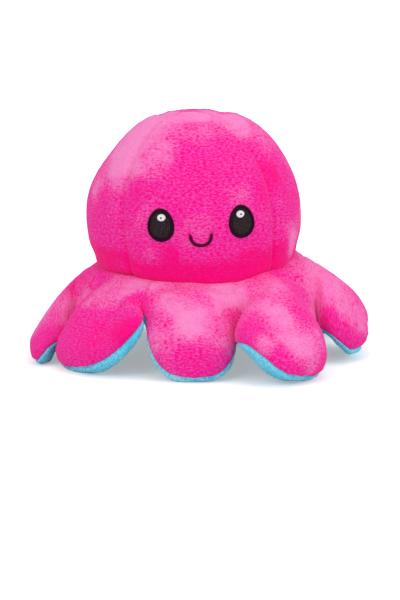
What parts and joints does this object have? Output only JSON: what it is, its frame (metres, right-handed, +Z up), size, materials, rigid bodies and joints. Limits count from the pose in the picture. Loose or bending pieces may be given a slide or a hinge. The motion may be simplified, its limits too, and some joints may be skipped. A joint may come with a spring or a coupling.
{
  "type": "plush octopus",
  "caption": "Reversible plush octopus with a round pink head, stitched smile and short stuffed tentacles; its blue side is folded up inside.",
  "frame": {"origin": "on the floor under the middle of the body, the bottom centre of the bounding box", "axes": "+Z up through the crown of the head, the happy face looks along -Y, +X to its right as seen from in front"},
  "size_m": [0.2003, 0.1998, 0.146],
  "materials": {
    "pink_plush": "short brushed pile",
    "blue_plush": "short brushed pile",
    "black_thread": "satin stitch",
    "white_thread": "satin stitch",
    "burgundy_thread": "satin stitch",
    "navy_thread": "satin stitch",
    "fibre_filling": "loose polyester fibre"
  },
  "bodies": {
    "toy_body": {"head_front_panel": "pink_plush", "head_right_panel": "pink_plush", "head_back_panel": "pink_plush", "head_left_panel": "pink_plush", "head_filling": "fibre_filling", "eye_left": "black_thread", "eye_right": "black_thread", "eye_left_highlight": "white_thread", "eye_right_highlight": "white_thread", "smile": "burgundy_thread", "pocket_front_panel": "blue_plush", "pocket_right_panel": "blue_plush", "pocket_back_panel": "blue_plush", "pocket_left_panel": "blue_plush", "cross_eye_left": "black_thread", "cross_eye_right": "black_thread", "cross_eye_left_highlight": "white_thread", "cross_eye_right_highlight": "white_thread", "frown": "navy_thread", "skirt_upper_skin": "pink_plush", "skirt_under_skin": "blue_plush", "skirt_filling": "fibre_filling"},
    "tentacle_front": {"tentacle_front_upper_skin": "pink_plush", "tentacle_front_under_skin": "blue_plush", "tentacle_front_filling": "fibre_filling"},
    "tentacle_front_right": {"tentacle_front_right_upper_skin": "pink_plush", "tentacle_front_right_under_skin": "blue_plush", "tentacle_front_right_filling": "fibre_filling"},
    "tentacle_right": {"tentacle_right_upper_skin": "pink_plush", "tentacle_right_under_skin": "blue_plush", "tentacle_right_filling": "fibre_filling"},
    "tentacle_back_right": {"tentacle_back_right_upper_skin": "pink_plush", "tentacle_back_right_under_skin": "blue_plush", "tentacle_back_right_filling": "fibre_filling"},
    "tentacle_back": {"tentacle_back_upper_skin": "pink_plush", "tentacle_back_under_skin": "blue_plush", "tentacle_back_filling": "fibre_filling"},
    "tentacle_back_left": {"tentacle_back_left_upper_skin": "pink_plush", "tentacle_back_left_under_skin": "blue_plush", "tentacle_back_left_filling": "fibre_filling"},
    "tentacle_left": {"tentacle_left_upper_skin": "pink_plush", "tentacle_left_under_skin": "blue_plush", "tentacle_left_filling": "fibre_filling"},
    "tentacle_front_left": {"tentacle_front_left_upper_skin": "pink_plush", "tentacle_front_left_under_skin": "blue_plush", "tentacle_front_left_filling": "fibre_filling"}
  },
  "joints": [
    {"name": "fold_front", "type": "hinge", "parent": "toy_body", "child": "tentacle_front", "pos_m": [-0.00853, -0.06948, 0.049], "axis": [-0.9925, 0.1219, 0], "range_deg": [-10, 90], "stiffness_Nm_per_rad": 0.08},
    {"name": "fold_front_right", "type": "hinge", "parent": "toy_body", "child": "tentacle_front_right", "pos_m": [0.0431, -0.05516, 0.049], "axis": [-0.788, -0.6157, 0], "range_deg": [-10, 90], "stiffness_Nm_per_rad": 0.08},
    {"name": "fold_right", "type": "hinge", "parent": "toy_body", "child": "tentacle_right", "pos_m": [0.06948, -0.00853, 0.049], "axis": [-0.1219, -0.9925, 0], "range_deg": [-10, 90], "stiffness_Nm_per_rad": 0.08},
    {"name": "fold_back_right", "type": "hinge", "parent": "toy_body", "child": "tentacle_back_right", "pos_m": [0.05516, 0.0431, 0.049], "axis": [0.6157, -0.788, 0], "range_deg": [-10, 90], "stiffness_Nm_per_rad": 0.08},
    {"name": "fold_back", "type": "hinge", "parent": "toy_body", "child": "tentacle_back", "pos_m": [0.00853, 0.06948, 0.049], "axis": [0.9925, -0.1219, 0], "range_deg": [-10, 90], "stiffness_Nm_per_rad": 0.08},
    {"name": "fold_back_left", "type": "hinge", "parent": "toy_body", "child": "tentacle_back_left", "pos_m": [-0.0431, 0.05516, 0.049], "axis": [0.788, 0.6157, 0], "range_deg": [-10, 90], "stiffness_Nm_per_rad": 0.08},
    {"name": "fold_left", "type": "hinge", "parent": "toy_body", "child": "tentacle_left", "pos_m": [-0.06948, 0.00853, 0.049], "axis": [0.1219, 0.9925, 0], "range_deg": [-10, 90], "stiffness_Nm_per_rad": 0.08},
    {"name": "fold_front_left", "type": "hinge", "parent": "toy_body", "child": "tentacle_front_left", "pos_m": [-0.05516, -0.0431, 0.049], "axis": [-0.6157, 0.788, 0], "range_deg": [-10, 90], "stiffness_Nm_per_rad": 0.08}
  ]
}
